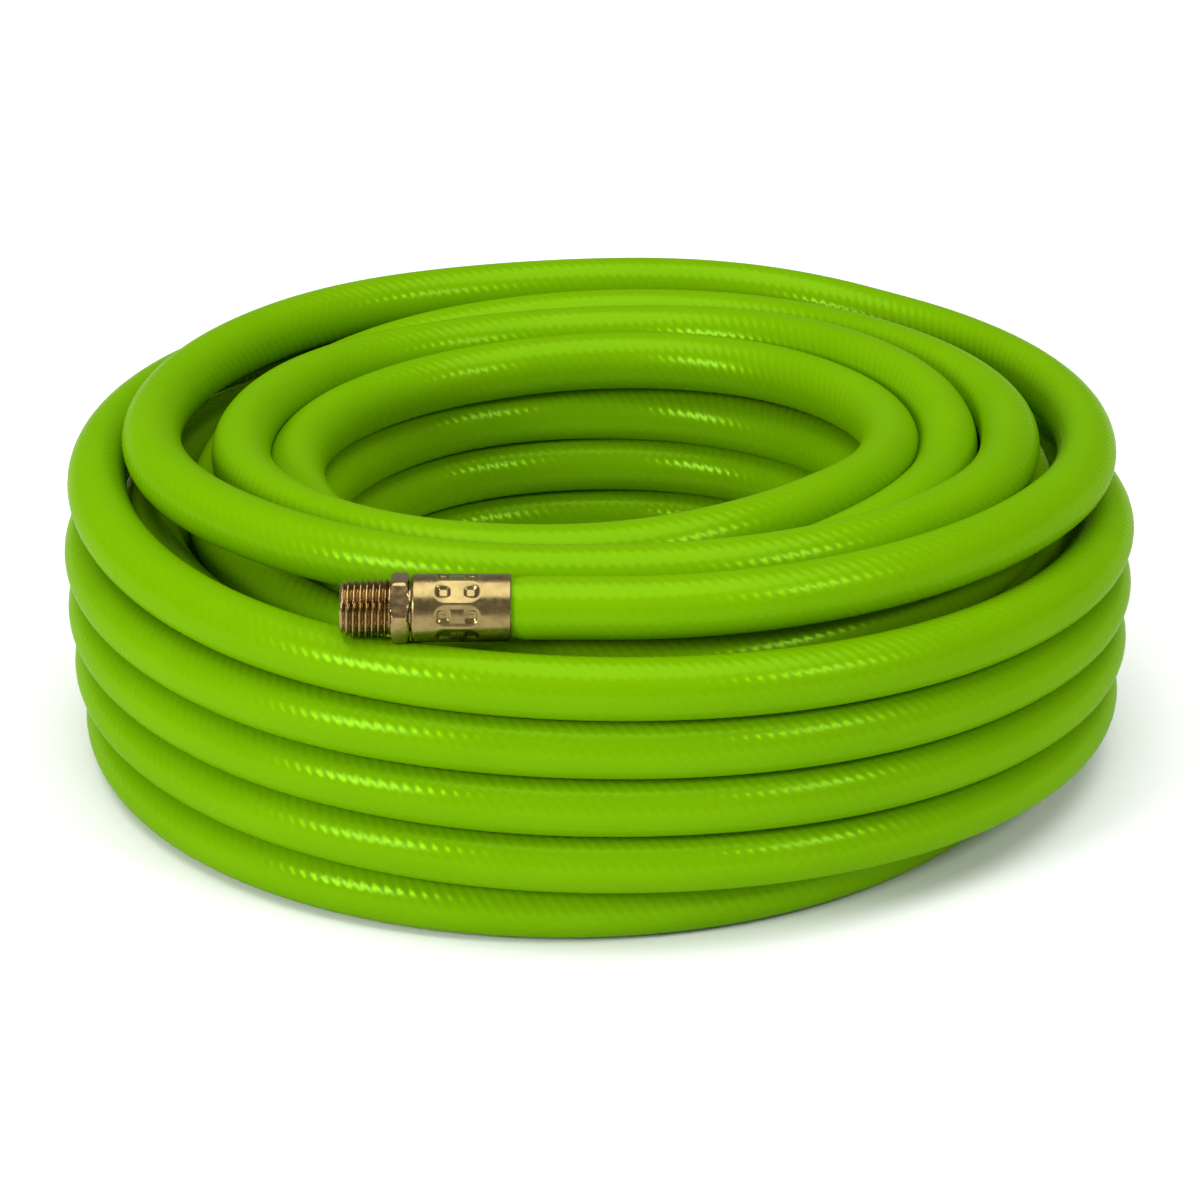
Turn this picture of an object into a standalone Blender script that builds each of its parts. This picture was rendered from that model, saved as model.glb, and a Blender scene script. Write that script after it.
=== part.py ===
"""Air hose, 3/8 in bore and 50 ft long, wound in a round coil, with a crimped fitting at each end.

Units are metres, +Z is up. The origin is on the ground, in the middle of the coil. The first end lies
on top of the coil at its front (-Y) and points along -X. The second end lies on the ground inside the
coil's eye.
"""

import math

import bmesh
import bpy
import numpy as np
from mathutils import Matrix, Vector

MM = 0.001
GAP = 0.3 * MM  # between pieces that touch

# Hose: three bonded layers round the bore.
HOSE_D = 14.3 * MM
BORE_R = 4.75 * MM
LINER_R = 5.4 * MM
BRAID_R = 6.0 * MM
HOSE_R = HOSE_D / 2
CRIMPED_R = 6.6 * MM  # the hose's outside under a ferrule
CRIMP_TAPER = 1.2 * MM
TUBE_SIDES = 12

# Nipple: 1/4-18 NPT male thread, 9/16 in hex, barbed stem.
THREAD_L = 11.3 * MM
THREAD_R = 6.8 * MM  # at the hex
THREAD_TAPER = 1 / 32  # of radius per length
HEX_FLATS = 14.29 * MM
HEX_L = 4.1 * MM
HEX_CHAMFER = 0.6 * MM
HEX_EDGE = 0.1 * MM  # how far inside its flats the hex's end faces stop
THREAD_CHAMFER = 0.6 * MM
BORE_CHAMFER = 0.4 * MM
NECK_R = 5.2 * MM
STEM_L = 20.0 * MM
BARB_R = 4.45 * MM
BARB_VALLEY_R = 4.05 * MM
BARBS = 4
BARB_FOOT, BARB_PEAK, BARB_END = 0.35, 0.4, 0.95  # in shares of a barb's length
STEM_TIP = 0.2 * MM  # how much the stem narrows at its tip
FLOW_R = 3.4 * MM  # the nipple's own bore
NIPPLE_SIDES = 24
HEX_TURN_A = 6.9  # degrees that the first end's hex is turned about its axis
HEX_TURN_B = 0.0

# Ferrule: a crimped sleeve with a lip that holds the nipple's neck.
FERRULE_L = 22.25 * MM
FERRULE_R = 7.65 * MM
FERRULE_WALL = 0.75 * MM
FERRULE_LIP = 0.9 * MM
FERRULE_LIP_R = NECK_R + GAP
FERRULE_ROUND = 0.9 * MM
FERRULE_CHAMFER = 0.2 * MM  # at the hose's end, outside
FERRULE_FLARE = 0.1 * MM  # at the hose's end, inside
FERRULE_FLARE_L = 0.4 * MM
HEX_TO_FERRULE = 0.4 * MM
NECK_L = HEX_TO_FERRULE + FERRULE_LIP  # it ends a gap short of the hose

# Lay of the hose, in hose diameters and in turns, anticlockwise from the front. A turn spirals from one
# ring to the next, each (radius, height) at the front of the coil, and swings off that spiral where it
# isn't wound neatly: (place in turns, half its length in turns, how far out, how far up).
TOP_RINGS = ((7.4, 5.5), (6.4, 5.6), (7.05, 4.35), (8.3, 4.5))
TOP_SWINGS = (
    (0.36, 0.30, 1.5, -0.62),
    (0.50, 0.15, -0.2, -0.05),
    (0.70, 0.30, 1.12, -0.28),
    (1.20, 0.25, 0.5, 0.0),
    (1.70, 0.30, -0.4, 0.0),
    (1.82, 0.18, -0.2, -0.3),
    (2.50, 0.25, 0.4, -0.2),
    (2.68, 0.25, 0.5, 0.34),
)
# The last turns, over the middle of the coil and into its inner column.
INNER_RINGS = ((5.8, 4.45), (5.3, 5.4), (4.85, 4.45), (5.05, 3.65))
INNER_SWINGS = (
    (0.28, 0.30, 0.1, 0.75),
    (0.72, 0.35, 0.65, -0.15),
    (1.12, 0.20, -0.5, 0.1),
    (1.45, 0.25, -0.5, 0.0),
    (1.80, 0.20, 0.35, 0.25),
    (2.40, 0.30, 0.0, -0.3),
)
ON_GROUND = 0.5  # the height of a turn that lies on the ground
OUTER_RADIUS, OUTER_OVAL = 8.45, 0.2
STACK_TURNS = 4
STACK_BULGE = 0.16  # how far the stack's upper turns stand out on the left and the right
TUCK_RADII = (7.85, 7.4, 7.2, 7.3)  # where the lowest turn goes in under the stack, on the ground
COLUMN_RADII = (7.55, 6.65, 5.8, 4.95)  # the hidden columns, from the outside in
STEP_IN_HIGH = ((7.3, 3.55), (7.0, 3.55), (6.8, 3.5), (6.7, 3.45))  # from the outer to the middle column
STEP_IN_LOW = ((6.5, 0.7), (6.3, 0.6), (6.0, 0.5))  # from the middle to the inner column
MIDDLE_TOP = 3.4
# The eye's wall and floor: down to the ground from where the last turns end, then inward in a bend of
# nearly 4 diameters.
INNER_EIGHTHS = 22  # how many eighths of a turn the last turns lie open for
WALL_DROP = 0.98
WALL_FOOT_ROWS = 10  # eighths of a turn in which the wall's last turn reaches the ground
END_HEIGHT = 0.55
END_RADII = (4.9, 4.6, 3.9, 3.3)
EIGHTHS = 8
STEPS = 48  # path points in a turn
SETTLE_ROUNDS = 400
SETTLE_PUSH = 0.4  # the share of an overlap that each round pushes apart
SETTLE_EVEN_LOOSE, SETTLE_EVEN_OPEN = 0.5, 0.08  # how far each round evens a line out
SETTLE_HOLD = 0.05  # how far each round draws an open turn back to its place
LOOSE_ABOVE = 0.2  # a turn that is freer than this isn't drawn back
# From which turn on, how freely the turns give way when they settle: the open ones hardly move.
FREEDOMS = ((-1, 0.03), (7.2, 1.0), (19.2, 0.03), (21.8, 0.12))

# The coil's solid
SECTIONS = 48
SECTION_RAYS = 60
SECTION_CENTRE = (6.75, 2.8)  # in hose diameters
FOOT_HEIGHT = 0.6  # turns with their centre below this lie on the ground, in hose diameters
VALLEY_FILL = 0.22  # closes gaps between turns narrower than twice this, in hose diameters
LEAD_A_TURNS = 5 / STEPS  # how far round the first end is a tube of its own
LEAD_B_TURNS = 0.5
LEAD_B_POINTS = 14
CLEARANCE_REACH = 0.6 * MM  # how far the wide part of an end's clearance passes the ferrule
CLEARANCE_STEP = 0.4 * MM  # along the hose, from the wide part to the narrow

# Places of the coil's axis and the two ends
AXIS_X, AXIS_Y = -0.14 * MM, -2.99 * MM  # put the middle of the coil's box at the origin
FERRULE_A_X = AXIS_X - 41.7 * MM  # the hex end of the first ferrule, on the straight run along -X
STRAIGHT_B = 22.0 * MM  # the hose's straight end under the second ferrule


def clear_scene():
    for item in list(bpy.data.objects):
        bpy.data.objects.remove(item, do_unlink=True)


def material(name, colour, roughness, metallic=0.0):
    made = bpy.data.materials.new(name)
    made.use_nodes = True
    shader = made.node_tree.nodes["Principled BSDF"]
    shader.inputs["Base Color"].default_value = (*colour, 1.0)
    shader.inputs["Roughness"].default_value = roughness
    shader.inputs["Metallic"].default_value = metallic
    return made


def mesh_object(name, points, faces, finish=None, smooth_below=40.0):
    mesh = bpy.data.meshes.new(name)
    mesh.from_pydata([tuple(p) for p in points], [], faces)
    work = bmesh.new()
    work.from_mesh(mesh)
    bmesh.ops.recalc_face_normals(work, faces=work.faces)
    work.to_mesh(mesh)
    work.free()
    mesh.shade_smooth()
    mesh.set_sharp_from_angle(angle=math.radians(smooth_below))
    if finish:
        mesh.materials.append(finish)
    made = bpy.data.objects.new(name, mesh)
    bpy.context.scene.collection.objects.link(made)
    return made


# The hose's route ---------------------------------------------------------------------------------


def ease(share):
    share = min(max(share, 0.0), 1.0)
    return share * share * (3 - 2 * share)


def open_turns(rings, swings, eighths):
    """The turns that lie open, as (radius, height) at each eighth of a turn."""
    rows = []
    for eighth in range(eighths):
        turn, part = divmod(eighth / EIGHTHS, 1.0)
        here, after = rings[int(turn)], rings[int(turn) + 1]
        radius = here[0] + (after[0] - here[0]) * ease(part)
        height = here[1] + (after[1] - here[1]) * ease(part)
        for place, half_length, out, up in swings:
            share = ease(1 - abs(turn + part - place) / half_length)
            radius += out * share
            height += up * share
        rows.append((radius, height))
    return rows


def outer_stack():
    """The outer column going down, one diameter a turn, mostly in each turn's front-right quarter."""
    rows = []
    for eighth in range(STACK_TURNS * EIGHTHS):
        turn, part = divmod(eighth / EIGHTHS, 1.0)
        angle = 2 * math.pi * part
        height = 4.5 - turn - ease((part + 0.03) / 0.5)
        bulge = STACK_BULGE * (1 - 2 * ((turn + part) / STACK_TURNS) ** 3) * math.sin(angle) ** 2
        rows.append((OUTER_RADIUS - OUTER_OVAL * math.cos(angle) + bulge, max(height, ON_GROUND)))
    return rows


def hidden_column(radius, turns, height, rise):
    """A column inside the coil that goes up or down by rise in each turn's front-right quarter."""
    rows = []
    for eighth in range(turns * EIGHTHS):
        turn, part = divmod(eighth / EIGHTHS, 1.0)
        rows.append((radius, height + rise * (turn + ease((part + 0.1) / 0.5))))
    return rows


def inner_wall(top):
    """The eye's wall going down from the last open turn, then the end that bends inward on the ground."""
    radius = COLUMN_RADII[3]
    rows = []
    for eighth in range(2 * EIGHTHS):
        turn, part = divmod(eighth / EIGHTHS, 1.0)
        rows.append((radius, top - WALL_DROP * (turn + ease((part - 0.15) / 0.6))))
    fall = rows[-1][1] - END_HEIGHT
    for row in range(1, WALL_FOOT_ROWS + 1):
        rows.append((radius, END_HEIGHT + fall * (1 - ease(row / WALL_FOOT_ROWS))))
    return rows + [(end, END_HEIGHT) for end in END_RADII]


def lay_rows():
    """The whole lay as (radius, height) at each eighth of a turn."""
    outer, middle, inner, _ = COLUMN_RADII
    rows = open_turns(TOP_RINGS, TOP_SWINGS, 3 * EIGHTHS) + outer_stack()
    rows += [(radius, ON_GROUND) for radius in TUCK_RADII]
    rows += [(outer, ON_GROUND)] * (EIGHTHS - len(TUCK_RADII))
    rows += hidden_column(outer, 3, ON_GROUND, 1.0)
    rows += list(STEP_IN_HIGH) + [(middle, MIDDLE_TOP)] * (EIGHTHS - len(STEP_IN_HIGH))
    rows += hidden_column(middle, 3, MIDDLE_TOP, -0.9)
    rows += list(STEP_IN_LOW) + [(inner, ON_GROUND)] * (EIGHTHS - len(STEP_IN_LOW))
    rows += hidden_column(inner, 3, ON_GROUND, 1.27)
    rows += open_turns(INNER_RINGS, INNER_SWINGS, INNER_EIGHTHS)
    return rows + inner_wall(rows[-1][1])


def smooth_lay(rows):
    """A smooth curve through the lay, at STEPS points a turn."""
    knots = np.array(rows)
    slopes = np.gradient(knots, axis=0)
    per_knot = STEPS // EIGHTHS
    index = np.arange((len(knots) - 1) * per_knot + 1)
    first = np.minimum(index // per_knot, len(knots) - 2)
    s = (index / per_knot - first)[:, None]
    start = (2 * s**3 - 3 * s**2 + 1) * knots[first] + (s**3 - 2 * s**2 + s) * slopes[first]
    end = (3 * s**2 - 2 * s**3) * knots[first + 1] + (s**3 - s**2) * slopes[first + 1]
    return start + end


def freedom(count):
    """How far each point may be pushed when the turns settle."""
    turn = np.arange(count) / STEPS
    free = np.ones(count)
    for start, share in FREEDOMS:
        free[turn > start] = share
    return free


def settle(lay):
    """Pushes turns that overlap apart until they lie a diameter from centre to centre."""
    count = len(lay)
    turns = math.ceil(count / STEPS)
    place = np.full((turns * STEPS, 2), np.nan)
    place[:count] = lay
    free = np.ones(turns * STEPS)
    free[:count] = freedom(count)
    loose = (free[:count] > LOOSE_ABOVE)[:, None]
    mine, other = free.reshape(turns, 1, STEPS), free.reshape(1, turns, STEPS)
    share = mine / (mine + other)
    for _ in range(SETTLE_ROUNDS):
        grid = place.reshape(turns, STEPS, 2)
        apart = grid[:, None] - grid[None]
        distance = np.sqrt((apart**2).sum(axis=3)) + 1e-9
        close = (distance < 1.0) & (distance > 1e-6)
        push = np.where(close, (1.0 - distance) / distance, 0.0) * share
        place = place + SETTLE_PUSH * np.nansum(push[..., None] * apart, axis=1).reshape(-1, 2)
        place[:, 1] = np.maximum(place[:, 1], ON_GROUND)
        held = place[:count]
        even = held.copy()
        even[1:-1] = (held[:-2] + 2 * held[1:-1] + held[2:]) / 4
        held += (even - held) * np.where(loose, SETTLE_EVEN_LOOSE, SETTLE_EVEN_OPEN)
        held += (lay - held) * np.where(loose, 0.0, SETTLE_HOLD)
    return place[:count]


def coil_points(lay):
    """The settled lay as points in space."""
    angle = 2 * math.pi * np.arange(len(lay)) / STEPS
    radius, height = lay.T * HOSE_D
    return np.stack([AXIS_X + radius * np.sin(angle), AXIS_Y - radius * np.cos(angle), height], axis=1)


def resample(points, count):
    """The same line with count points evenly spaced along it."""
    points = np.array([tuple(p) for p in points])
    along = np.concatenate([[0.0], np.cumsum(np.linalg.norm(np.diff(points, axis=0), axis=1))])
    wanted = np.linspace(0.0, along[-1], count)
    return np.stack([np.interp(wanted, along, points[:, axis]) for axis in range(3)], axis=1)


# Solids -------------------------------------------------------------------------------------------


def coil_solid(lay, finish):
    """The coil's outer shape: at each section, the outline round all its turns, with a flat foot."""
    points = []
    count = len(lay)
    lead_a = round(LEAD_A_TURNS * STEPS)
    lead_b = round(LEAD_B_TURNS * STEPS)
    centre = np.array(SECTION_CENTRE)
    grown = 0.5 + VALLEY_FILL
    for section in range(SECTIONS):
        angle = 2 * math.pi * section / SECTIONS
        turns = lay[section::STEPS] if section >= lead_a else lay[section + STEPS :: STEPS]
        if (count - 1 - section) % STEPS < lead_b:
            turns = turns[:-1]
        offsets = turns - centre
        feet = turns[turns[:, 1] < FOOT_HEIGHT, 0]
        for ray in range(SECTION_RAYS):
            tilt = 2 * math.pi * ray / SECTION_RAYS
            towards = np.array([math.cos(tilt), math.sin(tilt)])
            along = offsets @ towards
            aside = offsets[:, 0] * towards[1] - offsets[:, 1] * towards[0]
            hit = np.abs(aside) < grown
            reach = (along[hit] + np.sqrt(grown**2 - aside[hit] ** 2)).max() - VALLEY_FILL
            if towards[1] < 0 and feet.min() < centre[0] - towards[0] * centre[1] / towards[1] < feet.max():
                reach = -centre[1] / towards[1]
            radius, height = (centre + towards * reach) * HOSE_D
            across, ahead = radius * math.sin(angle), -radius * math.cos(angle)
            points.append((AXIS_X + across, AXIS_Y + ahead, max(height, 0.0)))
    faces = []
    for section in range(SECTIONS):
        after = (section + 1) % SECTIONS
        for ray in range(SECTION_RAYS):
            beside = (ray + 1) % SECTION_RAYS
            a, b = section * SECTION_RAYS + ray, section * SECTION_RAYS + beside
            c, d = after * SECTION_RAYS + beside, after * SECTION_RAYS + ray
            faces += [(a, b, c), (a, c, d)]
    return mesh_object("hose_coil", points, faces, finish)


def frames_along(points):
    """A point, and two directions square to the line, at each point of a line."""
    points = [Vector(p) for p in points]
    frames = []
    side = None
    for k, point in enumerate(points):
        ahead = (points[min(k + 1, len(points) - 1)] - points[max(k - 1, 0)]).normalized()
        if side is None:
            side = ahead.cross(Vector((0, 0, 1))).normalized()
        side = (side - ahead * side.dot(ahead)).normalized()
        frames.append((point, side, side.cross(ahead)))
    return frames


def ring_points(frame, radius, sides):
    point, side, up = frame
    turns = [2 * math.pi * k / sides for k in range(sides)]
    return [point + (side * math.cos(a) + up * math.sin(a)) * radius for a in turns]


def bridge(first, second, sides):
    pairs = [(k, (k + 1) % sides) for k in range(sides)]
    return [(first + k, first + after, second + after, second + k) for k, after in pairs]


def pipe(name, line, outside, inside, finish, sides=TUBE_SIDES):
    """A hollow tube along a line. outside holds its outer radius at each point; inside is one radius."""
    points, faces = [], []
    frames = frames_along(line)
    count = len(frames)
    for frame, radius in zip(frames, outside):
        points += ring_points(frame, radius, sides)
    for frame in frames:
        points += ring_points(frame, inside, sides)
    for k in range(count - 1):
        faces += bridge(k * sides, (k + 1) * sides, sides)
        faces += bridge((count + k) * sides, (count + k + 1) * sides, sides)
    faces += bridge(0, count * sides, sides)
    faces += bridge((count - 1) * sides, (2 * count - 1) * sides, sides)
    return mesh_object(name, points, faces, finish)


def rod(name, line, radii, sides=TUBE_SIDES):
    """A solid rod along a line, for a cutter."""
    points, faces = [], []
    for frame, radius in zip(frames_along(line), radii):
        points += ring_points(frame, radius, sides)
    for k in range(len(radii) - 1):
        faces += bridge(k * sides, (k + 1) * sides, sides)
    faces.append(tuple(range(sides)))
    faces.append(tuple(range((len(radii) - 1) * sides, len(radii) * sides)))
    made = mesh_object(name, points, faces)
    made.hide_render = True
    made.display_type = "WIRE"
    return made


def cut(target, cutter):
    modifier = target.modifiers.new(cutter.name, "BOOLEAN")
    modifier.operation = "DIFFERENCE"
    modifier.solver = "EXACT"
    modifier.object = cutter


def hex_radius(angle):
    """Distance to a hexagon's side at an angle from the middle of a flat."""
    within = (angle + math.pi / 6) % (math.pi / 3) - math.pi / 6
    return HEX_FLATS / 2 / math.cos(within)


def lathe(name, rows, finish, sides=NIPPLE_SIDES):
    """A closed solid turned about X from rows of (x, radius, is_hex)."""
    points, faces = [], []
    for x, radius, is_hex in rows:
        for k in range(sides):
            angle = 2 * math.pi * k / sides
            reach = hex_radius(angle) if is_hex else radius
            points.append((x, reach * math.sin(angle), reach * math.cos(angle)))
    for k in range(len(rows)):
        faces += bridge(k * sides, (k + 1) % len(rows) * sides, sides)
    return mesh_object(name, points, faces, finish)


def nipple(name, finish):
    """Origin where the hex meets the ferrule; the thread points along +X."""
    hex_end = HEX_L + THREAD_L
    tip_r = THREAD_R - THREAD_L * THREAD_TAPER
    rows = [(hex_end, FLOW_R + BORE_CHAMFER, False), (hex_end, tip_r - THREAD_CHAMFER, False)]
    rows += [(hex_end - THREAD_CHAMFER, tip_r, False), (HEX_L, THREAD_R, False)]
    rows += [(HEX_L, HEX_FLATS / 2 - HEX_EDGE, False), (HEX_L - HEX_CHAMFER / 2, 0, True)]
    rows += [(HEX_CHAMFER, 0, True), (0, HEX_FLATS / 2 - HEX_EDGE, False)]
    rows += [(0, NECK_R, False), (-NECK_L, NECK_R, False), (-NECK_L, BARB_VALLEY_R, False)]
    pitch = (STEM_L - NECK_L) / BARBS
    for barb in range(BARBS):
        start = -NECK_L - barb * pitch
        rows += [(start - BARB_FOOT * pitch, BARB_VALLEY_R, False)]
        rows += [(start - BARB_PEAK * pitch, BARB_R, False)]
        rows += [(start - BARB_END * pitch, BARB_VALLEY_R, False)]
    rows += [(-STEM_L, BARB_VALLEY_R - STEM_TIP, False), (-STEM_L, FLOW_R, False)]
    rows += [(hex_end - BORE_CHAMFER, FLOW_R, False)]
    return lathe(name, rows, finish)


def ferrule(name, finish):
    """Origin at its hex end; the sleeve runs along -X."""
    inner = FERRULE_R - FERRULE_WALL
    corner = FERRULE_ROUND * (1 - math.sqrt(0.5))
    rows = [(0, FERRULE_LIP_R, False), (0, FERRULE_R - FERRULE_ROUND, False)]
    rows += [(-corner, FERRULE_R - corner, False), (-FERRULE_ROUND, FERRULE_R, False)]
    rows += [(-FERRULE_L + FERRULE_CHAMFER, FERRULE_R, False)]
    rows += [(-FERRULE_L, FERRULE_R - FERRULE_CHAMFER, False)]
    rows += [(-FERRULE_L, inner + FERRULE_FLARE, False), (-FERRULE_L + FERRULE_FLARE_L, inner, False)]
    rows += [(-FERRULE_LIP, inner, False), (-FERRULE_LIP, FERRULE_LIP_R, False)]
    return lathe(name, rows, finish)


# Assembly -----------------------------------------------------------------------------------------


def crimped(line, end_first):
    """The hose's outside radius along a line whose end is under a ferrule."""
    line = [Vector(p) for p in line]
    end = line[0] if end_first else line[-1]
    covered = FERRULE_L - FERRULE_LIP - GAP
    radii = []
    for point in line:
        share = ease(((point - end).length - covered) / CRIMP_TAPER)
        radii.append(CRIMPED_R + (HOSE_R - CRIMPED_R) * share)
    return radii


def lead_line(coil_part, end, direction):
    """A lead from the coil to the hose's end: denser where the ferrule's crimp steps its outside."""
    covered = FERRULE_L - FERRULE_LIP - GAP
    mouth = end - direction * covered
    free = end - direction * (covered + CRIMP_TAPER)
    return [Vector(p) for p in coil_part] + [free, mouth, (mouth + end) / 2, end]


def lead_layers(tag, line, finishes):
    """The hose's three layers, each a tube of its own."""
    cover, braid, liner = finishes
    count = len(line)
    outside = crimped(line, end_first=False)
    pipe(f"hose_cover_{tag}", line, outside, BRAID_R + GAP, cover)
    pipe(f"hose_braid_{tag}", line, [BRAID_R] * count, LINER_R + GAP, braid)
    pipe(f"hose_liner_{tag}", line, [LINER_R] * count, BORE_R, liner)


def fitting(tag, end, direction, hex_turn, finishes):
    """A nipple and its ferrule on the hose's end, under one empty."""
    holder = bpy.data.objects.new(f"fitting_{tag}", None)
    bpy.context.scene.collection.objects.link(holder)
    across = Vector((0, 0, 1)).cross(direction)
    turn = Matrix((direction, across, (0, 0, 1))).transposed().to_4x4()
    holder.matrix_world = Matrix.Translation(end + direction * (FERRULE_LIP + GAP)) @ turn
    sleeve = ferrule(f"ferrule_{tag}", finishes[0])
    sleeve.parent = holder
    body = nipple(f"nipple_{tag}", finishes[1])
    body.parent = holder
    body.location = (HEX_TO_FERRULE, 0, 0)
    body.rotation_euler = (math.radians(hex_turn), 0, 0)


def clearance_rod(name, line, end, direction):
    """A cutter round a lead and its fitting, with the usual gap all round."""
    covered = FERRULE_L - FERRULE_LIP
    tip = end + direction * (FERRULE_LIP + HEX_TO_FERRULE + HEX_L + THREAD_L + 2 * GAP)
    points = [Vector(p) for p in line[:-3]]
    start = points[0] - (points[1] - points[0]).normalized() * GAP
    wide = HEX_FLATS / math.sqrt(3) + GAP
    narrow_end = end - direction * (covered + CLEARANCE_REACH + CLEARANCE_STEP)
    wide_start = end - direction * (covered + CLEARANCE_REACH)
    points = [start] + points[1:] + [narrow_end, wide_start, end, tip]
    radii = [HOSE_R + GAP] * (len(points) - 3) + [wide] * 3
    return rod(name, points, radii)


def main():
    clear_scene()
    green = material("green_pvc", (0.27, 0.52, 0.005), 0.35)
    yarn = material("polyester_yarn", (0.80, 0.80, 0.76), 0.8)
    black = material("black_liner", (0.02, 0.02, 0.02), 0.5)
    brass = material("brass", (0.60, 0.42, 0.20), 0.3, 1.0)
    plated = material("plated_steel", (0.62, 0.50, 0.28), 0.32, 1.0)

    lay = settle(smooth_lay(lay_rows()))
    route = coil_points(lay)
    coil = coil_solid(lay, green)

    along_a = Vector((-1, 0, 0))
    end_a = Vector((FERRULE_A_X + FERRULE_LIP + GAP, route[0][1], route[0][2]))
    along_b = Vector(route[-1] - route[-2]).normalized()
    end_b = Vector(route[-1]) + along_b * STRAIGHT_B
    lead_a = round(LEAD_A_TURNS * STEPS)
    lead_b = round(LEAD_B_TURNS * STEPS)
    line_a = lead_line(list(route[lead_a::-1]), end_a, along_a)
    line_b = lead_line(resample(route[-lead_b - 1 :], LEAD_B_POINTS), end_b, along_b)
    for tag, line, end, direction, hex_turn in (
        ("a", line_a, end_a, along_a, HEX_TURN_A),
        ("b", line_b, end_b, along_b, HEX_TURN_B),
    ):
        lead_layers(tag, line, (green, yarn, black))
        fitting(tag, end, direction, hex_turn, (plated, brass))
        cut(coil, clearance_rod(f"clearance_{tag}", line, end, direction))


main()
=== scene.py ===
"""Looks of the coiled air hose: the hose as one braided tube, and its two crimped fittings."""

import math

import bmesh
import bpy
import numpy as np
from mathutils import Matrix, Vector


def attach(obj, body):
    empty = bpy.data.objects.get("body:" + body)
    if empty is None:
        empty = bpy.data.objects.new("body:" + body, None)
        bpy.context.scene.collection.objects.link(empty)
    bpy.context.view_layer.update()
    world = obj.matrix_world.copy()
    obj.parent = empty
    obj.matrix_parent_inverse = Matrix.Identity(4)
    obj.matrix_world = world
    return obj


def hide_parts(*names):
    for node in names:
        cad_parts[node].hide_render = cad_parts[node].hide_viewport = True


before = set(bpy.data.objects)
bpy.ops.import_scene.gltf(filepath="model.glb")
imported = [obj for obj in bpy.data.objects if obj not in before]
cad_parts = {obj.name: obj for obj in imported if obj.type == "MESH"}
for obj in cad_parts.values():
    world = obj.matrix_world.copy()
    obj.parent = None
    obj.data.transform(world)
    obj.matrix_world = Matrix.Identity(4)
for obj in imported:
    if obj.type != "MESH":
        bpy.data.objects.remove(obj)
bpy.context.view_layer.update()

MM = 0.001

# Hose
HOSE_D = 14.3 * MM
HOSE_R = HOSE_D / 2
BORE_R = 4.75 * MM
CRIMPED_R = 6.6 * MM  # the hose's outside under a ferrule
CRIMP_TAPER = 2.4 * MM
OPEN_BORE_L = 26.0 * MM  # how far the bore is open from each end
HOSE_SIDES = 32
HOSE_SHARP = math.radians(50)
FINE = 4  # rings for each step of the lay

# The coil's axis, and the ends of the hose
AXIS_X, AXIS_Y = -0.14 * MM, -2.99 * MM
FERRULE_A_X = AXIS_X - 41.7 * MM
STRAIGHT_B = 22.0 * MM

# Ferrule: a sleeve with a lip that holds the nipple's neck
FERRULE_L = 22.25 * MM
FERRULE_R = 7.65 * MM
FERRULE_WALL = 0.75 * MM
FERRULE_LIP = 0.9 * MM
FERRULE_GAP = 0.3 * MM
FERRULE_ROUND = 0.9 * MM  # the rounding of its hex end
FERRULE_ROUND_STEPS = 9
FERRULE_CHAMFER = 0.15 * MM  # at the hose's end, outside
FERRULE_FLARE = 0.1 * MM  # at the hose's end, inside
FERRULE_SIDES = 240
FERRULE_RINGS = 110
DIMPLES = 8
DIMPLE_ROWS = (-7.3 * MM, -13.4 * MM)
DIMPLE_HALF = 1.25 * MM
DIMPLE_DEPTH = 0.5 * MM
DIMPLE_SOFT = 1.1 * MM  # the width of its sloping edge
DIMPLE_TURN = math.radians(-9)
DENT_DEPTH = 0.45 * MM
DENT_HALF_L = 2.4 * MM  # of its straight middle
DENT_HALF_W = 2.3 * MM
DENT_SOFT = 1.7 * MM

# Nipple: 1/4-18 NPT male thread, 9/16 in hex, barbed stem
HEX_TO_FERRULE = 0.4 * MM
HEX_L = 4.1 * MM
HEX_FLATS = 14.29 * MM
HEX_CORNER_R = 8.05 * MM
HEX_FACE_R = 7.05 * MM  # of its end face on the thread's side
HEX_FOOT_R = 7.1 * MM  # of its end face on the ferrule's side
HEX_TURN_A = 6.9  # degrees that the first end's hex is turned about its axis
HEX_TURN_B = 0.0
# The hex's rounded corners, as (distance, corner radius): inward from its face on the thread's side, and
# from its face on the ferrule's side.
HEX_OUTER_ROUND = ((0.1 * MM, 7.4 * MM), (0.3 * MM, 7.85 * MM), (0.6 * MM, HEX_CORNER_R))
HEX_INNER_ROUND = ((0.9 * MM, HEX_CORNER_R), (0.6 * MM, 7.95 * MM), (0.3 * MM, 7.6 * MM))
THREAD_L = 11.3 * MM
THREAD_R = 6.8 * MM  # at the hex
THREAD_PITCH = 1.411 * MM
THREAD_DEPTH = 1.0 * MM
THREAD_TAPER = 1 / 32  # of radius per length
THREAD_SLOPE, THREAD_FLAT = 2.5, 0.2  # the flat crest is 2 * 0.2 / 2.5 of the pitch wide
TIP_FADE, HEX_FADE = 1.2 * MM, 1.0 * MM  # in which the crests come down to the root at each end
THREAD_RELIEF_R = 6.6 * MM
THREAD_FACE = 1.5 * MM  # how far inside the crests the end face stops
THREAD_STEPS = 14  # rings in one pitch
NECK_R = 5.2 * MM
NECK_L = 1.3 * MM
STEM_L = 20.0 * MM
STEM_TIP_R = 3.85 * MM
BARBS = 4
BARB_R = 4.45 * MM
BARB_VALLEY_R = 4.05 * MM
BARB_FOOT, BARB_PEAK, BARB_END = 1.6 * MM, 1.8 * MM, 4.4 * MM  # from where a barb starts
FLOW_R = 3.4 * MM  # the nipple's own bore
BORE_CHAMFER = 0.4 * MM
NIPPLE_SIDES = 144
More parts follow.
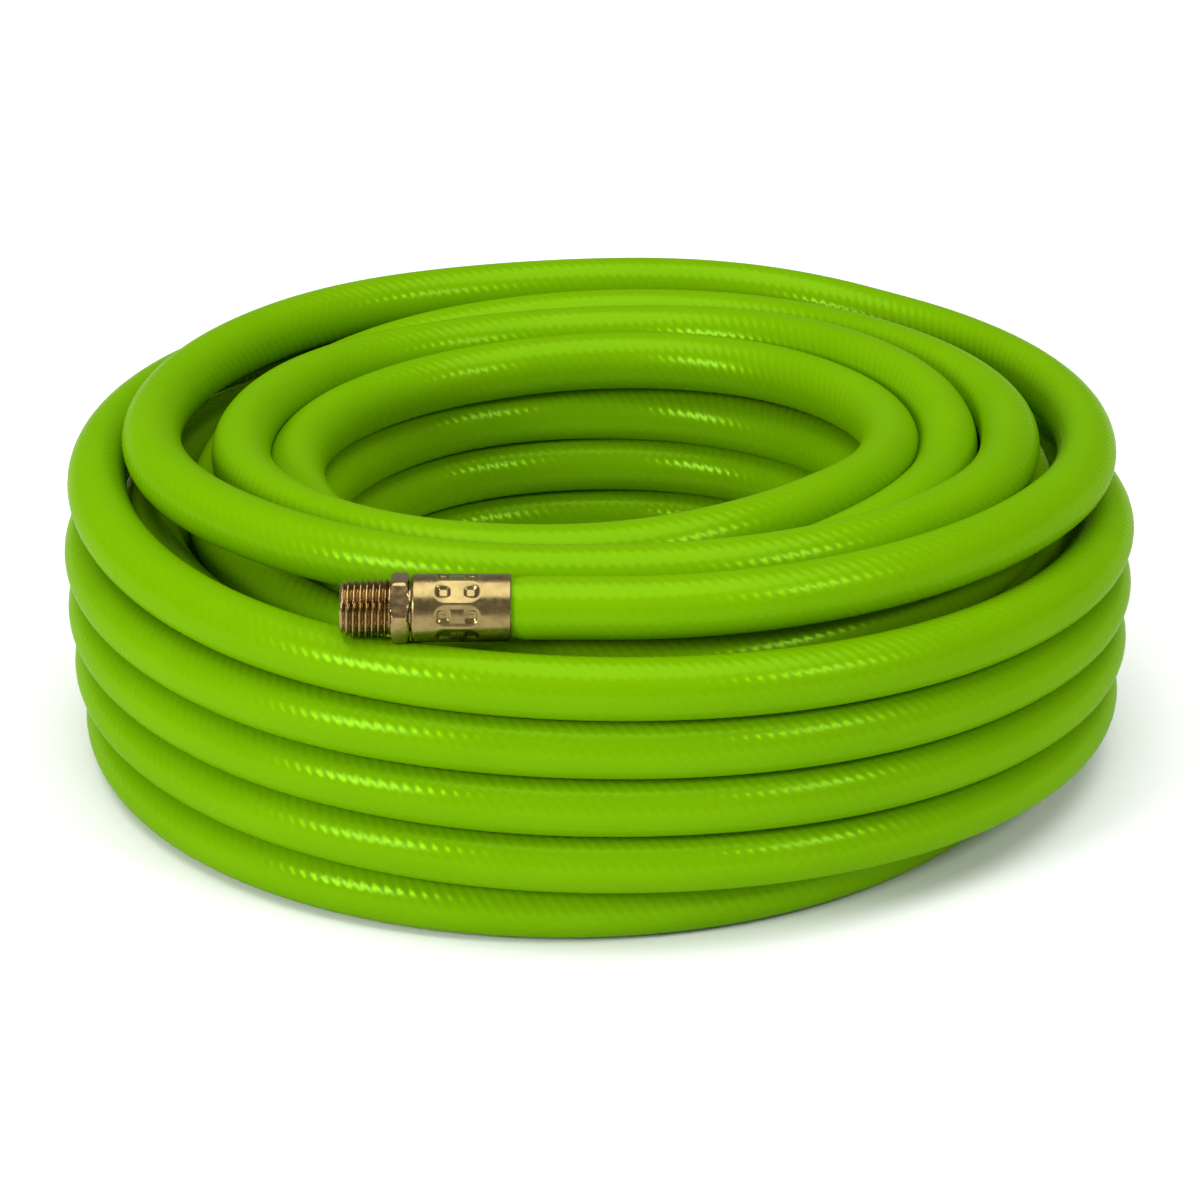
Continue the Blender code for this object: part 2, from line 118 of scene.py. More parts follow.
METAL_SHARP = math.radians(35)

# Lay of the hose, in hose diameters and in turns, anticlockwise from the front. A turn spirals from one
# ring to the next, each (radius, height) at the front of the coil, and swings off that spiral where it
# isn't wound neatly: (place in turns, half its length in turns, how far out, how far up).
TOP_TURNS = 3
TOP_RINGS = ((7.4, 5.5), (6.4, 5.6), (7.05, 4.35), (8.3, 4.5))
TOP_SWINGS = (
    (0.36, 0.30, 1.5, -0.62),
    (0.50, 0.15, -0.2, -0.05),
    (0.70, 0.30, 1.12, -0.28),
    (1.20, 0.25, 0.5, 0.0),
    (1.70, 0.30, -0.4, 0.0),
    (1.82, 0.18, -0.2, -0.3),
    (2.50, 0.25, 0.4, -0.2),
    (2.68, 0.25, 0.5, 0.34),
)
# The last turns, over the middle of the coil and into its inner column.
INNER_RINGS = ((5.8, 4.45), (5.3, 5.4), (4.85, 4.45), (5.05, 3.65))
INNER_SWINGS = (
    (0.28, 0.30, 0.1, 0.75),
    (0.72, 0.35, 0.65, -0.15),
    (1.12, 0.20, -0.5, 0.1),
    (1.45, 0.25, -0.5, 0.0),
    (1.80, 0.20, 0.35, 0.25),
    (2.40, 0.30, 0.0, -0.3),
)
ON_GROUND = 0.5  # the height of a turn that lies on the ground
OUTER_RADIUS, OUTER_OVAL = 8.45, 0.2  # the stack lies that much further in at the front, out at the back
STACK_TOP = 4.5
STACK_TURNS = 4
STACK_BULGE = 0.16  # how far the stack's upper turns stand out on the left and the right
TUCK_RADII = (7.85, 7.4, 7.2, 7.3)  # where the lowest turn goes in under the stack, on the ground
COLUMN_RADII = (7.55, 6.65, 5.8, 4.95)  # from the outside in: three hidden columns and the eye's wall
COLUMN_TURNS = 3
OUTER_RISE, MIDDLE_RISE, INNER_RISE = 1.0, -0.9, 1.27  # in a turn
STEP_IN_HIGH = ((7.3, 3.55), (7.0, 3.55), (6.8, 3.5), (6.7, 3.45))  # outer to middle column
STEP_IN_LOW = ((6.5, 0.7), (6.3, 0.6), (6.0, 0.5))  # middle to inner column
MIDDLE_TOP = 3.4
# Where in each turn the hose steps up or down to the next, and for how long, in turns.
STACK_STEP, COLUMN_STEP, WALL_STEP = (-0.03, 0.5), (-0.1, 0.5), (0.15, 0.6)
INNER_EIGHTHS = 22  # how many eighths of a turn the last turns lie open for
WALL_TURNS = 2
WALL_DROP = 0.98
WALL_FOOT_ROWS = 10  # eighths of a turn in which the wall's last turn reaches the ground
END_HEIGHT = 0.55
END_RADII = (4.9, 4.6, 3.9, 3.3)
EIGHTHS = 8
STEPS = 48  # lay points in a turn
SETTLE_ROUNDS = 400
SETTLE_PUSH = 0.4  # the share of an overlap that each round pushes apart
SETTLE_EVEN_LOOSE, SETTLE_EVEN_OPEN = 0.5, 0.08  # how far each round evens a line out
SETTLE_HOLD = 0.05  # how far each round draws an open turn back to its place
LOOSE_ABOVE = 0.2  # a turn that is freer than this isn't drawn back
NEVER_ZERO = 1e-9  # added to a distance that is divided by
ITSELF = 1e-6  # what is nearer than this is the same point
# From which turn on, how freely the turns give way when they settle: the open ones hardly move.
FREEDOMS = ((-1, 0.03), (7.2, 1.0), (19.2, 0.03), (21.8, 0.12))

# Camera, floor and light
CAMERA_TARGET = Vector((AXIS_X + 0.3 * MM, AXIS_Y, 33.2 * MM))
CAMERA_ELEVATION = math.radians(24)
CAMERA_DISTANCE = 1.229
CAMERA_LENS = 150  # mm
CAMERA_SENSOR = 36  # mm
CAMERA_CLIP = 0.05
LAMP_TARGET = Vector((0, 0, 0.05))
OVERHEAD_STRENGTH = 2.45
OVERHEAD_SPREAD = math.radians(60)
WORLD_STRENGTH = 0.34
FLOOR_R = 6
FLOOR_SIDES = 96
FLOOR_COLOUR = (0.9, 0.9, 0.9)
FLOOR_ROUGHNESS = 0.9

# Hose finish
HOSE_COLOURS = ((0.138, 0.326, 0.0003), (0.149, 0.342, 0.0006))
HOSE_ROUGHNESS = (0.22, 0.28)
HOSE_IOR = 1.02
HOSE_METALLIC = 0.11
HOSE_TINT = (0.95, 1.0, 0.2, 1)
HOSE_COAT, HOSE_COAT_ROUGHNESS = 0.04, 0.2
YARN_STARTS = 11
YARN_PITCH = 2.8 * MM  # along the hose
YARN_RELIEF = 0.065 * MM
SECOND_HAND = 0.2  # how strongly the other hand of the braid shows
GRAIN_SHARE = 0.12
GRAIN_SCALE, CLOUD_SCALE, HOSE_GLOSS_SCALE = 900.0, 28.0, 60.0

# Metal finish
BRASS_COLOURS = ((0.27, 0.19, 0.08), (0.38, 0.27, 0.12))
BRASS_ROUGHNESS = 0.21
PLATED_COLOURS = ((0.22, 0.165, 0.065), (0.3, 0.225, 0.09))
PLATED_ROUGHNESS = 0.25
SMOOTHER, ROUGHER = 0.06, 0.08  # how far the roughness varies each way
MOTTLE_SCALE, MOTTLE_DETAIL = 260.0, 4.0
METAL_GLOSS_SCALE = 700.0
PITTING_SCALE, PITTING_DEPTH, PITTING_STRENGTH = 1500.0, 0.01 * MM, 0.5
NOISE_DETAIL = 3.0
RAMP_START, RAMP_STOP = 0.35, 0.65


# The hose's route ---------------------------------------------------------------------------------


def ease(share):
    share = min(max(share, 0.0), 1.0)
    return share * share * (3 - 2 * share)


def stepped(part, step):
    """How much of the step to the next turn has been taken at this part of a turn."""
    start, length = step
    return ease((part - start) / length)


def open_turns(rings, swings, eighths):
    """The turns that lie open, as (radius, height) at each eighth of a turn."""
    rows = []
    for eighth in range(eighths):
        turn, part = divmod(eighth / EIGHTHS, 1.0)
        here, after = rings[int(turn)], rings[int(turn) + 1]
        radius = here[0] + (after[0] - here[0]) * ease(part)
        height = here[1] + (after[1] - here[1]) * ease(part)
        for place, half_length, out, up in swings:
            share = ease(1 - abs(turn + part - place) / half_length)
            radius += out * share
            height += up * share
        rows.append((radius, height))
    return rows


def outer_stack():
    """The outer column going down, one diameter a turn, almost all on each turn's right side."""
    rows = []
    for eighth in range(STACK_TURNS * EIGHTHS):
        turn, part = divmod(eighth / EIGHTHS, 1.0)
        angle = 2 * math.pi * part
        height = STACK_TOP - turn - stepped(part, STACK_STEP)
        bulge = STACK_BULGE * (1 - 2 * ((turn + part) / STACK_TURNS) ** 3) * math.sin(angle) ** 2
        rows.append((OUTER_RADIUS - OUTER_OVAL * math.cos(angle) + bulge, max(height, ON_GROUND)))
    return rows


def hidden_column(radius, height, rise):
    """A column inside the coil that goes up or down by rise, mostly on each turn's right side."""
    rows = []
    for eighth in range(COLUMN_TURNS * EIGHTHS):
        turn, part = divmod(eighth / EIGHTHS, 1.0)
        rows.append((radius, height + rise * (turn + stepped(part, COLUMN_STEP))))
    return rows


def inner_wall(top):
    """The eye's wall going down from the last open turn, then the end that bends inward."""
    radius = COLUMN_RADII[3]
    rows = []
    for eighth in range(WALL_TURNS * EIGHTHS):
        turn, part = divmod(eighth / EIGHTHS, 1.0)
        rows.append((radius, top - WALL_DROP * (turn + stepped(part, WALL_STEP))))
    fall = rows[-1][1] - END_HEIGHT
    for row in range(1, WALL_FOOT_ROWS + 1):
        rows.append((radius, END_HEIGHT + fall * (1 - ease(row / WALL_FOOT_ROWS))))
    return rows + [(end, END_HEIGHT) for end in END_RADII]


def lay_rows():
    """The whole lay as (radius, height) at each eighth of a turn."""
    outer, middle, inner, _ = COLUMN_RADII
    rows = open_turns(TOP_RINGS, TOP_SWINGS, TOP_TURNS * EIGHTHS) + outer_stack()
    rows += [(radius, ON_GROUND) for radius in TUCK_RADII]
    rows += [(outer, ON_GROUND)] * (EIGHTHS - len(TUCK_RADII))
    rows += hidden_column(outer, ON_GROUND, OUTER_RISE)
    rows += list(STEP_IN_HIGH) + [(middle, MIDDLE_TOP)] * (EIGHTHS - len(STEP_IN_HIGH))
    rows += hidden_column(middle, MIDDLE_TOP, MIDDLE_RISE)
    rows += list(STEP_IN_LOW) + [(inner, ON_GROUND)] * (EIGHTHS - len(STEP_IN_LOW))
    rows += hidden_column(inner, ON_GROUND, INNER_RISE)
    rows += open_turns(INNER_RINGS, INNER_SWINGS, INNER_EIGHTHS)
    return rows + inner_wall(rows[-1][1])


def smooth(knots, per_knot):
    """A smooth curve through evenly spaced knots, with per_knot points from each to the next."""
    knots = np.array(knots)
    slopes = np.gradient(knots, axis=0)
    index = np.arange((len(knots) - 1) * per_knot + 1)
    first = np.minimum(index // per_knot, len(knots) - 2)
    s = (index / per_knot - first)[:, None]
    start = (2 * s**3 - 3 * s**2 + 1) * knots[first] + (s**3 - 2 * s**2 + s) * slopes[first]
    end = (3 * s**2 - 2 * s**3) * knots[first + 1] + (s**3 - s**2) * slopes[first + 1]
    return start + end


def freedom(count):
    """How far each point may be pushed when the turns settle."""
    turn = np.arange(count) / STEPS
    free = np.ones(count)
    for start, share in FREEDOMS:
        free[turn > start] = share
    return free


def settle(lay):
    """Pushes turns that overlap apart, towards lying a diameter from centre to centre."""
    count = len(lay)
    turns = math.ceil(count / STEPS)
    place = np.full((turns * STEPS, 2), np.nan)
    place[:count] = lay
    free = np.ones(turns * STEPS)
    free[:count] = freedom(count)
    loose = (free[:count] > LOOSE_ABOVE)[:, None]
    mine, other = free.reshape(turns, 1, STEPS), free.reshape(1, turns, STEPS)
    share = mine / (mine + other)
    for _ in range(SETTLE_ROUNDS):
        grid = place.reshape(turns, STEPS, 2)
        apart = grid[:, None] - grid[None]
        distance = np.sqrt((apart**2).sum(axis=3)) + NEVER_ZERO
        close = (distance < 1.0) & (distance > ITSELF)
        push = np.where(close, (1.0 - distance) / distance, 0.0) * share
        place = place + SETTLE_PUSH * np.nansum(push[..., None] * apart, axis=1).reshape(-1, 2)
        place[:, 1] = np.maximum(place[:, 1], ON_GROUND)
        held = place[:count]
        even = held.copy()
        even[1:-1] = (held[:-2] + 2 * held[1:-1] + held[2:]) / 4
        held += (even - held) * np.where(loose, SETTLE_EVEN_LOOSE, SETTLE_EVEN_OPEN)
        held += (lay - held) * np.where(loose, 0.0, SETTLE_HOLD)
    return place[:count]


def coil_points(lay):
    """The settled lay as points in space."""
    angle = 2 * math.pi * np.arange(len(lay)) / (STEPS * FINE)
    radius, height = lay.T * HOSE_D
    across, ahead = radius * np.sin(angle), radius * np.cos(angle)
    return np.stack([AXIS_X + across, AXIS_Y - ahead, height], axis=1)


def hose_path():
    """The hose's centreline, from its end in the first ferrule to its end in the second."""
    coil = coil_points(smooth(settle(smooth(lay_rows(), STEPS // EIGHTHS)), FINE))
    start_x = FERRULE_A_X + FERRULE_LIP + FERRULE_GAP
    step = np.linalg.norm(coil[1] - coil[0])
    x = np.arange(start_x, AXIS_X - step / 2, step)
    lead_a = np.stack([x, np.full(len(x), coil[0, 1]), np.full(len(x), coil[0, 2])], axis=1)
    along_b = (coil[-1] - coil[-2]) / np.linalg.norm(coil[-1] - coil[-2])
    steps_b = round(STRAIGHT_B / step)
    lead_b = coil[-1] + along_b * (np.arange(1, steps_b + 1) * STRAIGHT_B / steps_b)[:, None]
    return np.concatenate([lead_a, coil, lead_b])


# Camera, floor and light --------------------------------------------------------------------------


def link(name, data):
    made = bpy.data.objects.new(name, data)
    bpy.context.scene.collection.objects.link(made)
    return made


def add_camera():
    data = bpy.data.cameras.new("camera")
    data.sensor_width = CAMERA_SENSOR
    data.lens = CAMERA_LENS
    data.clip_start = CAMERA_CLIP
    camera = link("camera", data)
    back = Vector((0, -math.cos(CAMERA_ELEVATION), math.sin(CAMERA_ELEVATION)))
    camera.location = CAMERA_TARGET + back * CAMERA_DISTANCE
    camera.rotation_euler = (math.pi / 2 - CAMERA_ELEVATION, 0, 0)
    bpy.context.scene.camera = camera


def add_light(name, azimuth, elevation, distance, size, watts):
    """An area light aimed at the coil. Azimuth 0 is the camera's side; positive is to the right."""
    data = bpy.data.lights.new(name, "AREA")
    data.shape = "RECTANGLE"
    data.size, data.size_y = size
    data.energy = watts
    lamp = link(name, data)
    turn, rise = math.radians(azimuth), math.radians(elevation)
    across, ahead = math.sin(turn) * math.cos(rise), -math.cos(turn) * math.cos(rise)
    towards = Vector((across, ahead, math.sin(rise)))
    lamp.location = LAMP_TARGET + towards * distance
    lamp.rotation_euler = towards.to_track_quat("Z", "Y").to_euler()


def add_overhead():
    """Even light from above, as from a wide softbox, so that the floor is white all over."""
    data = bpy.data.lights.new("overhead", "SUN")
    data.energy = OVERHEAD_STRENGTH
    data.angle = OVERHEAD_SPREAD
    link("overhead", data)


def add_studio():
    world = bpy.data.worlds.new("studio")
    world.use_nodes = True
    background = world.node_tree.nodes["Background"]
    background.inputs["Color"].default_value = (1, 1, 1, 1)
    background.inputs["Strength"].default_value = WORLD_STRENGTH
    bpy.context.scene.world = world
    bpy.context.scene.view_settings.view_transform = "Standard"
    add_light("key", azimuth=-48, elevation=23, distance=1.6, size=(0.5, 0.5), watts=16)
    add_light("fill", azimuth=52, elevation=38, distance=1.6, size=(0.4, 0.35), watts=7)
    add_overhead()


def add_floor():
    mesh = bpy.data.meshes.new("floor")
    work = bmesh.new()
    bmesh.ops.create_circle(work, cap_ends=True, segments=FLOOR_SIDES, radius=FLOOR_R)
    work.to_mesh(mesh)
    work.free()
    mesh.materials.append(floor_material())
    link("floor", mesh)


# Materials ----------------------------------------------------------------------------------------


def principled(name):
    made = bpy.data.materials.new(name)
    made.use_nodes = True
    return made, made.node_tree, made.node_tree.nodes["Principled BSDF"]


def node(tree, kind, **settings):
    made = tree.nodes.new(kind)
    for name, value in settings.items():
        setattr(made, name, value)
    return made


def math_node(tree, operation, first, second=None):
    made = node(tree, "ShaderNodeMath", operation=operation)
    for socket, value in zip(made.inputs, (first, second)):
        if value is None:
            continue
        if isinstance(value, (int, float)):
            socket.default_value = value
        else:
            tree.links.new(value, socket)
    return made.outputs[0]


def noise(tree, vector, scale, detail=NOISE_DETAIL):
    made = node(tree, "ShaderNodeTexNoise")
    made.inputs["Scale"].default_value = scale
    made.inputs["Detail"].default_value = detail
    tree.links.new(vector, made.inputs["Vector"])
    return made.outputs[0]


def bump(tree, shader, height, distance, strength=1.0):
    made = node(tree, "ShaderNodeBump")
    made.inputs["Strength"].default_value = strength
    made.inputs["Distance"].default_value = distance
    tree.links.new(height, made.inputs["Height"])
    tree.links.new(made.outputs["Normal"], shader.inputs["Normal"])


def ramp(tree, factor, low, high):
    made = node(tree, "ShaderNodeValToRGB")
    tree.links.new(factor, made.inputs["Fac"])
    ends = made.color_ramp.elements
    ends[0].position, ends[1].position = RAMP_START, RAMP_STOP
    ends[0].color, ends[1].color = (*low, 1), (*high, 1)
    return made.outputs["Color"]


def gloss(tree, shader, factor, low, high):
    """Roughness that varies between low and high."""
    tree.links.new(ramp(tree, factor, (low,) * 3, (high,) * 3), shader.inputs["Roughness"])


def floor_material():
    made, _, shader = principled("floor_white")
    shader.inputs["Base Color"].default_value = (*FLOOR_COLOUR, 1)
    shader.inputs["Roughness"].default_value = FLOOR_ROUGHNESS
    return made


def yarn_ridges(tree, along, around, hand):
    """Ridges of one hand of the braid: 0 in the furrows and 1 on the yarns."""
    phase = math_node(tree, "MULTIPLY", along, 1 / YARN_PITCH)
    turn = math_node(tree, "MULTIPLY", around, hand * YARN_STARTS)
    angle = math_node(tree, "MULTIPLY", math_node(tree, "ADD", phase, turn), 2 * math.pi)
    wave = math_node(tree, "SINE", angle)
    return math_node(tree, "MULTIPLY", math_node(tree, "ADD", wave, 1.0), 0.5)


def hose_material():
    """Lime green flexible PVC, with the braid under it showing as oblique ridges."""
    made, tree, shader = principled("hose_lime_pvc")
    uv = node(tree, "ShaderNodeUVMap", uv_map="hose").outputs["UV"]
    split = node(tree, "ShaderNodeSeparateXYZ")
    tree.links.new(uv, split.inputs[0])
    along, around = split.outputs[0], split.outputs[1]
    first = yarn_ridges(tree, along, around, 1)
    second = yarn_ridges(tree, along, around, -1)
    place = node(tree, "ShaderNodeTexCoord").outputs["Object"]
    grain = noise(tree, place, GRAIN_SCALE)
    cloud = noise(tree, place, CLOUD_SCALE)
    relief = math_node(tree, "ADD", first, math_node(tree, "MULTIPLY", second, SECOND_HAND))
    relief = math_node(tree, "ADD", relief, math_node(tree, "MULTIPLY", grain, GRAIN_SHARE))
    bump(tree, shader, relief, YARN_RELIEF)
    tree.links.new(ramp(tree, cloud, *HOSE_COLOURS), shader.inputs["Base Color"])
    gloss(tree, shader, noise(tree, place, HOSE_GLOSS_SCALE), *HOSE_ROUGHNESS)
    shader.inputs["IOR"].default_value = HOSE_IOR
    shader.inputs["Metallic"].default_value = HOSE_METALLIC
    shader.inputs["Specular Tint"].default_value = HOSE_TINT
    shader.inputs["Coat Weight"].default_value = HOSE_COAT
    shader.inputs["Coat Roughness"].default_value = HOSE_COAT_ROUGHNESS
    return made


def metal_material(name, colours, roughness):
    """Yellow metal with a lightly mottled and pitted finish."""
    made, tree, shader = principled(name)
    place = node(tree, "ShaderNodeTexCoord").outputs["Object"]
    mottle = noise(tree, place, MOTTLE_SCALE, MOTTLE_DETAIL)
    tree.links.new(ramp(tree, mottle, *colours), shader.inputs["Base Color"])
    uneven = noise(tree, place, METAL_GLOSS_SCALE)
    gloss(tree, shader, uneven, roughness - SMOOTHER, roughness + ROUGHER)
    shader.inputs["Metallic"].default_value = 1.0
    bump(tree, shader, noise(tree, place, PITTING_SCALE), PITTING_DEPTH, PITTING_STRENGTH)
    return made


# Meshes -------------------------------------------------------------------------------------------


def link_mesh(name, points, faces, finish):
    mesh = bpy.data.meshes.new(name)
    mesh.from_pydata([tuple(p) for p in points], [], [tuple(f) for f in faces])
    mesh.shade_smooth()
    mesh.materials.append(finish)
    return link(name, mesh)


def grid_faces(rows, columns):
    """Quads of a tube of rows rings, each of columns points, round from each ring to the next."""
    ring = np.arange(rows - 1)[:, None] * columns
    here = np.arange(columns)[None]
    after = (here + 1) % columns
    corners = [ring + here, ring + after, ring + columns + after, ring + columns + here]
    return np.stack(corners, axis=2).reshape(-1, 4)


def finish_mesh(mesh, sharp, caps=()):
    """Adds the caps, faces every face out, and keeps the edges over the angle sharp."""
    work = bmesh.new()
    work.from_mesh(mesh)
    work.verts.ensure_lookup_table()
    for cap in caps:
        work.faces.new([work.verts[k] for k in cap])
    bmesh.ops.recalc_face_normals(work, faces=work.faces)
    work.to_mesh(mesh)
    work.free()
    mesh.set_sharp_from_angle(angle=sharp)


# Hose ---------------------------------------------------------------------------------------------


def hose_radii(path):
    """The hose's outside at each point: squeezed under the ferrules, and round elsewhere."""
    covered = FERRULE_L - FERRULE_LIP - FERRULE_GAP
    from_a = np.linalg.norm(path - path[0], axis=1)
    from_b = np.linalg.norm(path - path[-1], axis=1)
    to_end = np.minimum(from_a, from_b)
    near_end = len(path) // 100
    to_end[near_end:-near_end] = 1.0
    share = np.clip((to_end - covered) / CRIMP_TAPER, 0, 1)
    return CRIMPED_R + (HOSE_R - CRIMPED_R) * share * share * (3 - 2 * share)


def sides_along(path):
    """The directions to the hose's side and up, square to it, at each point of its path."""
    along = np.gradient(path, axis=0)
    along /= np.linalg.norm(along, axis=1)[:, None]
    outward = np.cross(along, (0, 0, 1))
    outward /= np.linalg.norm(outward, axis=1)[:, None]
    return outward, np.cross(outward, along)


def map_hose(mesh, ring_places):
    """A map that holds how far along the hose each corner is, in metres, and round it, in turns."""
    row, column = np.divmod(np.arange(len(mesh.vertices)), HOSE_SIDES)
    vertex = np.empty(len(mesh.loops), dtype=int)
    mesh.loops.foreach_get("vertex_index", vertex)
    along = ring_places[row][vertex]
    around = column[vertex] / HOSE_SIDES
    corner = np.arange(len(vertex)) % 4
    around[(around == 0) & ((corner == 1) | (corner == 2))] = 1.0
    uv = mesh.uv_layers.new(name="hose")
    uv.data.foreach_set("uv", np.stack([along, around], axis=1).ravel())


def make_hose(path, finish):
    """One tube along the path, with its bore open at each end to past the stem's tip."""
    outward, up = sides_along(path)
    length = np.concatenate([[0], np.cumsum(np.linalg.norm(np.diff(path, axis=0), axis=1))])
    deep = np.searchsorted(length, OPEN_BORE_L)
    count = len(path)
    bore_a, bore_b = np.arange(deep, -1, -1), np.arange(count - 1, count - 2 - deep, -1)
    order = np.concatenate([bore_a, np.arange(count), bore_b])
    bore = np.full(deep + 1, BORE_R)
    radii = np.concatenate([bore, hose_radii(path), bore])
    angle = 2 * math.pi * np.arange(HOSE_SIDES) / HOSE_SIDES
    cos, sin = np.cos(angle)[None, :, None], np.sin(angle)[None, :, None]
    spread = outward[order, None] * cos + up[order, None] * sin
    points = (path[order, None] + spread * radii[:, None, None]).reshape(-1, 3)
    hose = link_mesh("air_hose", points, grid_faces(len(order), HOSE_SIDES), finish)
    map_hose(hose.data, length[order])
    ends = (0, (len(order) - 1) * HOSE_SIDES)
    finish_mesh(hose.data, HOSE_SHARP, [range(end, end + HOSE_SIDES) for end in ends])
    return hose


# Fittings -----------------------------------------------------------------------------------------


def turned(name, rows, sides, radius_at, finish):
    """A closed body round X. rows are (x, profile radius, kind); radius_at gives the real radius."""
    angle = 2 * math.pi * np.arange(sides) / sides
    rings = []
    for x, radius, kind in rows:
        reach = radius_at(x, radius, kind, angle)
        rings.append(np.stack([np.full(sides, x), reach * np.sin(angle), reach * np.cos(angle)], axis=1))
    points = np.concatenate(rings)
    faces = grid_faces(len(rings) + 1, sides) % len(points)
    made = link_mesh(name, points, faces, finish)
    finish_mesh(made.data, METAL_SHARP)
    return made


def nipple_radius(x, radius, kind, angle):
    if kind == "hex":
        within = (angle + math.pi / 6) % (math.pi / 3) - math.pi / 6
        return np.minimum(HEX_FLATS / 2 / np.cos(within), radius)
    if kind == "thread":
        phase = (x / THREAD_PITCH - angle / (2 * math.pi)) % 1.0
        flank = np.clip(np.abs(phase - 0.5) * THREAD_SLOPE - THREAD_FLAT, 0, 1)
        tip = HEX_L + THREAD_L
        fade = np.clip((tip - x) / TIP_FADE, 0, 1) * np.clip((x - HEX_L) / HEX_FADE, 0, 1)
        return radius - THREAD_DEPTH * (1 - fade) - THREAD_DEPTH * fade * flank
    return np.full(len(angle), radius)


def thread_rows():
    """From the tip to the hex."""
    tip = HEX_L + THREAD_L
    rows = [(tip, FLOW_R + BORE_CHAMFER, ""), (tip, THREAD_R - THREAD_FACE, "")]
    count = round(THREAD_L / THREAD_PITCH * THREAD_STEPS)
    for k in range(count + 1):
        x = tip - THREAD_L * k / count
        rows.append((x, THREAD_R - (x - HEX_L) * THREAD_TAPER, "thread"))
    return rows


def hex_rows():
    rows = [(HEX_L, THREAD_RELIEF_R, ""), (HEX_L, HEX_FACE_R, "")]
    rows += [(HEX_L - inward, radius, "hex") for inward, radius in HEX_OUTER_ROUND]
    rows += [(x, radius, "hex") for x, radius in HEX_INNER_ROUND]
    return rows + [(0, HEX_FOOT_R, "")]


def stem_rows():
    """The neck in the ferrule's lip, then the barbs and the tip in the hose."""
    rows = [(0, NECK_R, ""), (-NECK_L, NECK_R, ""), (-NECK_L, BARB_VALLEY_R, "")]
    for barb in range(BARBS):
        start = -NECK_L - barb * (STEM_L - NECK_L) / BARBS
        rows += [(start - BARB_FOOT, BARB_VALLEY_R, ""), (start - BARB_PEAK, BARB_R, "")]
        rows += [(start - BARB_END, BARB_VALLEY_R, "")]
    return rows + [(-STEM_L, STEM_TIP_R, ""), (-STEM_L, FLOW_R, "")]


def make_nipple(name, finish):
    """Origin where the hex meets the ferrule; the thread points along +X."""
    bore = [(HEX_L + THREAD_L - BORE_CHAMFER, FLOW_R, "")]
    rows = thread_rows() + hex_rows() + stem_rows() + bore
    return turned(name, rows, NIPPLE_SIDES, nipple_radius, finish)


def soft_step(value, edge, width):
    share = np.clip((edge - value) / width + 0.5, 0, 1)
    return share * share * (3 - 2 * share)


def ferrule_radius(x, radius, kind, angle):
    """The sleeve's wall, pressed in by square dimples, each pair in a long shallow dent."""
    if not kind:
        return np.full(len(angle), radius)
    step = 2 * math.pi / DIMPLES
    across = ((angle - DIMPLE_TURN + step / 2) % step - step / 2) * FERRULE_R
    depth = np.zeros(len(angle))
    for row in DIMPLE_ROWS:
        square = (np.abs(across) ** 4 + abs(x - row) ** 4) ** 0.25
        depth += DIMPLE_DEPTH * soft_step(square, DIMPLE_HALF, DIMPLE_SOFT)
    middle = sum(DIMPLE_ROWS) / 2
    beyond = max(abs(x - middle) - DENT_HALF_L, 0)
    depth += DENT_DEPTH * soft_step(np.hypot(across, beyond), DENT_HALF_W, DENT_SOFT)
    return radius - depth


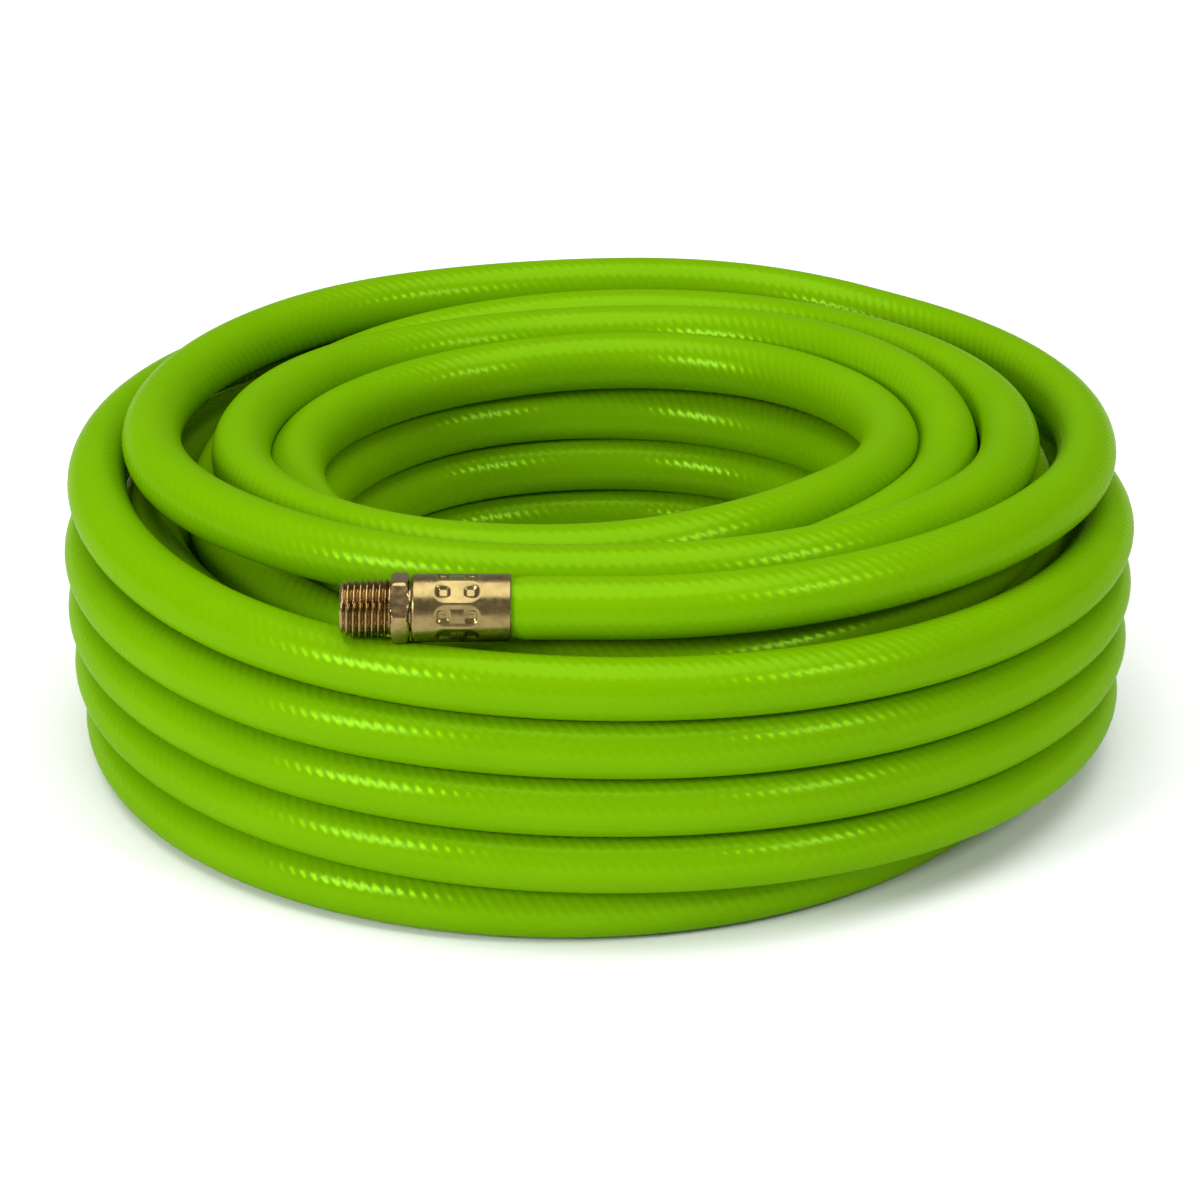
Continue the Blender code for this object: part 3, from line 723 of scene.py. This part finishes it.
def make_ferrule(name, finish):
    """Origin at its hex end; the sleeve runs along -X."""
    inner = FERRULE_R - FERRULE_WALL
    lip, edge = NECK_R + FERRULE_GAP, FERRULE_R - FERRULE_ROUND
    rows = [(0, lip, ""), (0, edge, "")]
    for k in range(1, FERRULE_ROUND_STEPS + 1):
        a = math.radians(90 * k / FERRULE_ROUND_STEPS)
        rows.append((FERRULE_ROUND * (math.cos(a) - 1), edge + FERRULE_ROUND * math.sin(a), ""))
    start, stop = -FERRULE_ROUND, -FERRULE_L + FERRULE_CHAMFER
    shares = range(1, FERRULE_RINGS + 1)
    rows += [(start + (stop - start) * k / FERRULE_RINGS, FERRULE_R, "wall") for k in shares]
    rows += [(-FERRULE_L, FERRULE_R - FERRULE_CHAMFER, ""), (-FERRULE_L, inner + FERRULE_FLARE, "")]
    rows += [(stop + (start - stop) * k / FERRULE_RINGS, inner, "wall") for k in shares]
    rows += [(-FERRULE_ROUND, lip, "")]
    return turned(name, rows, FERRULE_SIDES, ferrule_radius, finish)


def place_fitting(pieces, end, direction):
    across = Vector((0, 0, 1)).cross(direction)
    turn = Matrix((direction, across, (0, 0, 1))).transposed().to_4x4()
    matrix = Matrix.Translation(end + direction * (FERRULE_LIP + FERRULE_GAP)) @ turn
    for piece, offset, hex_turn in pieces:
        local = Matrix.Translation((offset, 0, 0)) @ Matrix.Rotation(math.radians(hex_turn), 4, "X")
        piece.data.transform(matrix @ local)


def make_fitting(tag, end, direction, hex_turn, brass, plated):
    nipple = make_nipple(f"nipple_{tag}_threaded", brass)
    sleeve = make_ferrule(f"ferrule_{tag}_crimped", plated)
    pieces = [(sleeve, 0, 0), (nipple, HEX_TO_FERRULE, hex_turn)]
    place_fitting(pieces, Vector(end), Vector(direction).normalized())
    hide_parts(f"nipple_{tag}")
    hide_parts(f"ferrule_{tag}")
    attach(nipple, "root")
    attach(sleeve, "root")
    return [nipple, sleeve]


def declare_hose(hose):
    layers = [f"hose_{layer}_{tag}" for tag in "ab" for layer in ("cover", "braid", "liner")]
    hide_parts("hose_coil", *layers)
    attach(hose, "root")


def main():
    add_camera()
    path = hose_path()
    hose = make_hose(path, hose_material())
    brass = metal_material("brass_turned", BRASS_COLOURS, BRASS_ROUGHNESS)
    plated = metal_material("plated_pressed", PLATED_COLOURS, PLATED_ROUGHNESS)
    make_fitting("a", path[0], path[0] - path[1], HEX_TURN_A, brass, plated)
    far_pieces = make_fitting("b", path[-1], path[-1] - path[-2], HEX_TURN_B, brass, plated)
    declare_hose(hose)
    add_floor()
    add_studio()


main()
